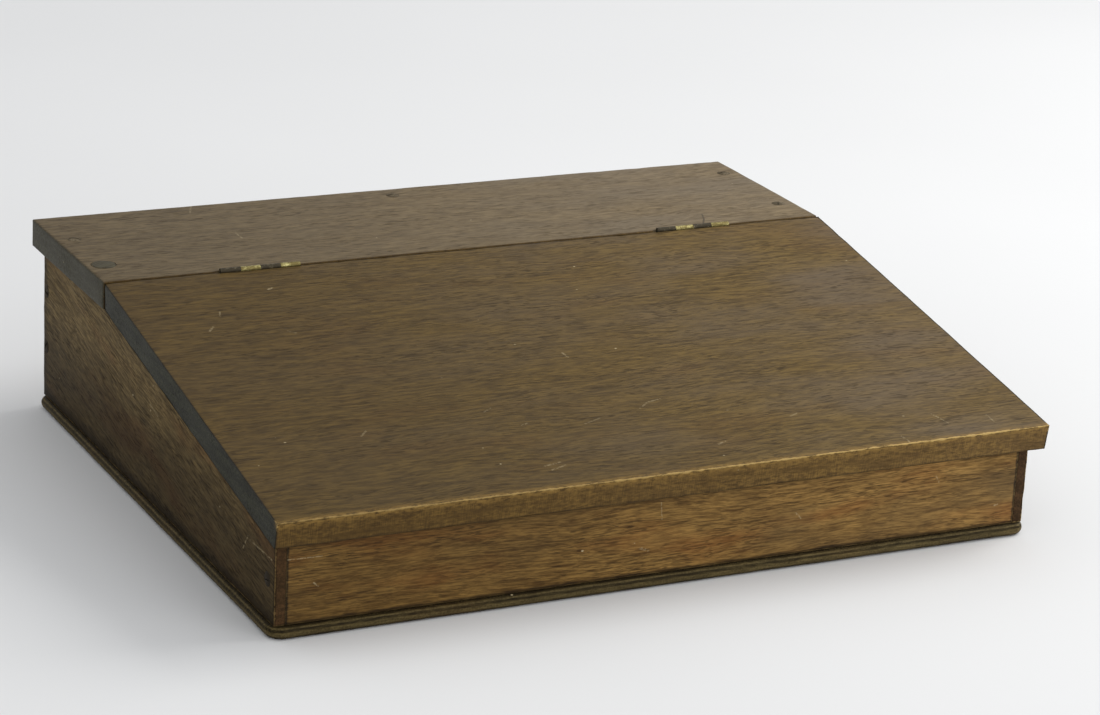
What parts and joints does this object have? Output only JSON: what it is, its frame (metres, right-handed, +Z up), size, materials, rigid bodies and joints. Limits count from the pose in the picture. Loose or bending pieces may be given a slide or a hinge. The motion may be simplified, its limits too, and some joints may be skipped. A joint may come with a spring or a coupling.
{
  "type": "slant-top writing box",
  "caption": "Slant-top wooden writing box with a level ledge at the back, a sloping lid on small brass butt hinges, and a rounded base board.",
  "frame": {"origin": "on the table, under the middle of the whole box's footprint", "axes": "+X along the width, to the right for someone at the low front side; +Y from the low front to the tall back; +Z up"},
  "size_m": [0.463, 0.3936, 0.1167],
  "materials": {
    "lid_wood": "worn satin varnish on open-pored brown wood",
    "ledge_wood": "worn greyish satin varnish on open-pored brown wood",
    "front_wood": "worn satin varnish on warm brown wood",
    "side_wood": "dull, grimy varnish on dark brown wood",
    "base_wood": "dark, rubbed, grimy edge",
    "plug_wood": "grey end grain, worn flush",
    "dark_screw": "blackened steel, rubbed",
    "bright_brass": "rubbed bright brass",
    "tarnished_brass": "dark tarnished brass"
  },
  "bodies": {
    "case": {"base_board": "base_wood", "front_panel": "front_wood", "back_panel": "front_wood", "side_panel_left": "side_wood", "side_panel_right": "side_wood", "ledge_board": "ledge_wood", "ledge_screws": "dark_screw", "ledge_plug": "plug_wood", "side_screws_left": "dark_screw", "side_screws_right": "dark_screw", "base_screws": "dark_screw", "hinge_left_ledge_leaf": "tarnished_brass", "hinge_left_pin": "tarnished_brass", "hinge_left_ledge_screws": "bright_brass", "hinge_right_ledge_leaf": "tarnished_brass", "hinge_right_pin": "tarnished_brass", "hinge_right_ledge_screws": "bright_brass"},
    "lid": {"lid_panel": "lid_wood", "hinge_left_lid_leaf": "bright_brass", "hinge_left_lid_screws": "bright_brass", "hinge_right_lid_leaf": "bright_brass", "hinge_right_lid_screws": "bright_brass"}
  },
  "joints": [
    {"name": "lid_hinge", "type": "hinge", "parent": "case", "child": "lid", "pos_m": [0, 0.068, 0.115], "axis": [-1, 0, 0], "range_deg": [0, 188]}
  ]
}
